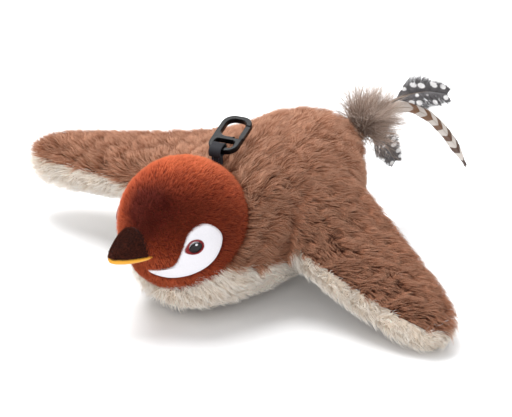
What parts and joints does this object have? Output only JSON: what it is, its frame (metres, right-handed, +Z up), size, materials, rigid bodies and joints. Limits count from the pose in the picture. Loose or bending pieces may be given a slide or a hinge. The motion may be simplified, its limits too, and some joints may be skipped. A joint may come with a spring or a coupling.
{
  "type": "flapping plush bird",
  "caption": "Soft plush bird whose long wings are flapped by a geared motor in its belly, with a rust head, feather tail and a snap clip at the neck",
  "frame": {"origin": "on the floor under the middle of the bird, beak and tail feathers and wing tips being equally far away", "axes": "+Z up, -Y towards the beak, +X towards the tip of its own left wing"},
  "size_m": [0.2458, 0.2296, 0.0748],
  "materials": {
    "brown_plush": "long-pile brown plush fabric over fibre stuffing",
    "cream_plush": "long-pile cream plush fabric over fibre stuffing",
    "rust_plush": "short-pile rust-red plush fabric",
    "stuffing": "white polyester fibre filling",
    "pouch_fabric": "plain woven lining",
    "tape": "hook-and-loop tape",
    "white_felt": "smooth white fleece",
    "eye_thread": "satin-stitch embroidery, black pupil with a dark red rim and a white glint",
    "beak_brown": "dark brown short-pile plush",
    "beak_yellow": "yellow-orange felt",
    "ribbon": "black woven ribbon with stitching",
    "black_plastic": "glossy black moulded plastic",
    "leather_binding": "brown leather binding",
    "feather_barred": "cream feather with brown bars",
    "feather_spotted": "dark grey guinea-fowl feather with white spots",
    "down": "grey-brown down",
    "case_plastic": "white moulded plastic",
    "gear_plastic": "natural acetal",
    "steel": "steel",
    "brass": "machined brass",
    "board": "green solder mask",
    "cell_wrap": "blue cell wrap",
    "led": "clear lens",
    "leads": "red insulated wire"
  },
  "bodies": {
    "bird_body": {"axle_a": "steel", "axle_b": "steel", "back_plush": "brown_plush", "barred_feather": "feather_barred", "battery": "cell_wrap", "belly_plush": "cream_plush", "case_screws": "steel", "circuit_board": "board", "downy_plume": "down", "gear_frame": "gear_plastic", "head_plush": "rust_plush", "head_stuffing": "stuffing", "inner_pouch": "pouch_fabric", "left_eye": "eye_thread", "left_eye_patch": "white_felt", "left_pivot_pin": "steel", "loop_tape": "tape", "lower_beak": "beak_yellow", "module_case_lower": "case_plastic", "module_case_upper": "case_plastic", "motor_can": "steel", "motor_end_cap": "gear_plastic", "motor_leads": "leads", "neck_ribbon": "ribbon", "right_eye": "eye_thread", "right_eye_patch": "white_felt", "right_pivot_pin": "steel", "speaker": "steel", "spotted_feather_lower": "feather_spotted", "spotted_feather_upper": "feather_spotted", "status_led": "led", "tact_switch": "black_plastic", "tail_binding": "leather_binding", "upper_beak": "beak_brown", "usb_port": "steel", "vibration_sensor": "steel", "yoke_guides": "steel"},
    "left_wing": {"left_wing_top_plush": "brown_plush", "left_wing_under_plush": "cream_plush", "left_wing_lever": "gear_plastic", "left_wing_wire": "steel", "left_pad_screw": "steel"},
    "right_wing": {"right_wing_top_plush": "brown_plush", "right_wing_under_plush": "cream_plush", "right_wing_lever": "gear_plastic", "right_wing_wire": "steel", "right_pad_screw": "steel"},
    "yoke_body": {"yoke": "gear_plastic"},
    "crank_body": {"crank_gear": "gear_plastic"},
    "gear_two_body": {"gear_two": "gear_plastic"},
    "gear_one_body": {"gear_one": "gear_plastic"},
    "motor_body": {"motor_pinion": "brass", "motor_shaft": "steel", "motor_rotor": "steel"},
    "button_body": {"power_button": "case_plastic"},
    "flap_body": {"belly_flap": "cream_plush", "hook_tape": "tape"},
    "clip_body": {"clip_frame": "black_plastic"},
    "gate_body": {"clip_gate": "black_plastic"}
  },
  "joints": [
    {"name": "left_wing_flap", "type": "hinge", "parent": "bird_body", "child": "left_wing", "pos_m": [0.017, -0.032, 0.033], "axis": [0, -1, 0], "range_deg": [0, 40]},
    {"name": "right_wing_flap", "type": "hinge", "parent": "bird_body", "child": "right_wing", "pos_m": [-0.017, -0.032, 0.033], "axis": [0, 1, 0], "range_deg": [0, 40]},
    {"name": "yoke_slide", "type": "slide", "parent": "bird_body", "child": "yoke_body", "axis": [0, 0, -1], "range_m": [0, 0.0056]},
    {"name": "crank_spin", "type": "hinge", "parent": "bird_body", "child": "crank_body", "pos_m": [0, -0.01975, 0.029], "axis": [0, 1, 0], "continuous": true},
    {"name": "gear_two_spin", "type": "hinge", "parent": "bird_body", "child": "gear_two_body", "pos_m": [-0.0112, -0.0165, 0.029], "axis": [0, 1, 0], "continuous": true},
    {"name": "gear_one_spin", "type": "hinge", "parent": "bird_body", "child": "gear_one_body", "pos_m": [0, -0.0135, 0.029], "axis": [0, 1, 0], "continuous": true},
    {"name": "motor_spin", "type": "hinge", "parent": "bird_body", "child": "motor_body", "pos_m": [-0.0112, -0.0135, 0.029], "axis": [0, 1, 0], "continuous": true},
    {"name": "power_button_press", "type": "slide", "parent": "bird_body", "child": "button_body", "axis": [0, 0, 1], "range_m": [0, 0.0004], "stiffness_N_per_m": 400},
    {"name": "belly_flap_open", "type": "hinge", "parent": "bird_body", "child": "flap_body", "pos_m": [0, -0.0436, 0], "axis": [-1, 0, 0], "range_deg": [0, 100]},
    {"name": "clip_swing", "type": "hinge", "parent": "bird_body", "child": "clip_body", "pos_m": [-0.00056, -0.0489, 0.06723], "axis": [0.9511, 0.309, 0], "range_deg": [0, 110]},
    {"name": "gate_flex", "type": "hinge", "parent": "clip_body", "child": "gate_body", "pos_m": [0.0022, -0.0383, 0.06988], "axis": [0.0852, -0.2621, 0.9613], "range_deg": [0, 30], "stiffness_Nm_per_rad": 0.02}
  ],
  "couplings": [
    {"joint": "right_wing_flap", "follows": "left_wing_flap", "ratio": 1},
    {"joint": "yoke_slide", "follows": "left_wing_flap", "m_per_rad": 0.008},
    {"joint": "gear_one_spin", "follows": "motor_spin", "ratio": -0.33333},
    {"joint": "gear_two_spin", "follows": "motor_spin", "ratio": 0.11111},
    {"joint": "crank_spin", "follows": "motor_spin", "ratio": -0.037037}
  ]
}
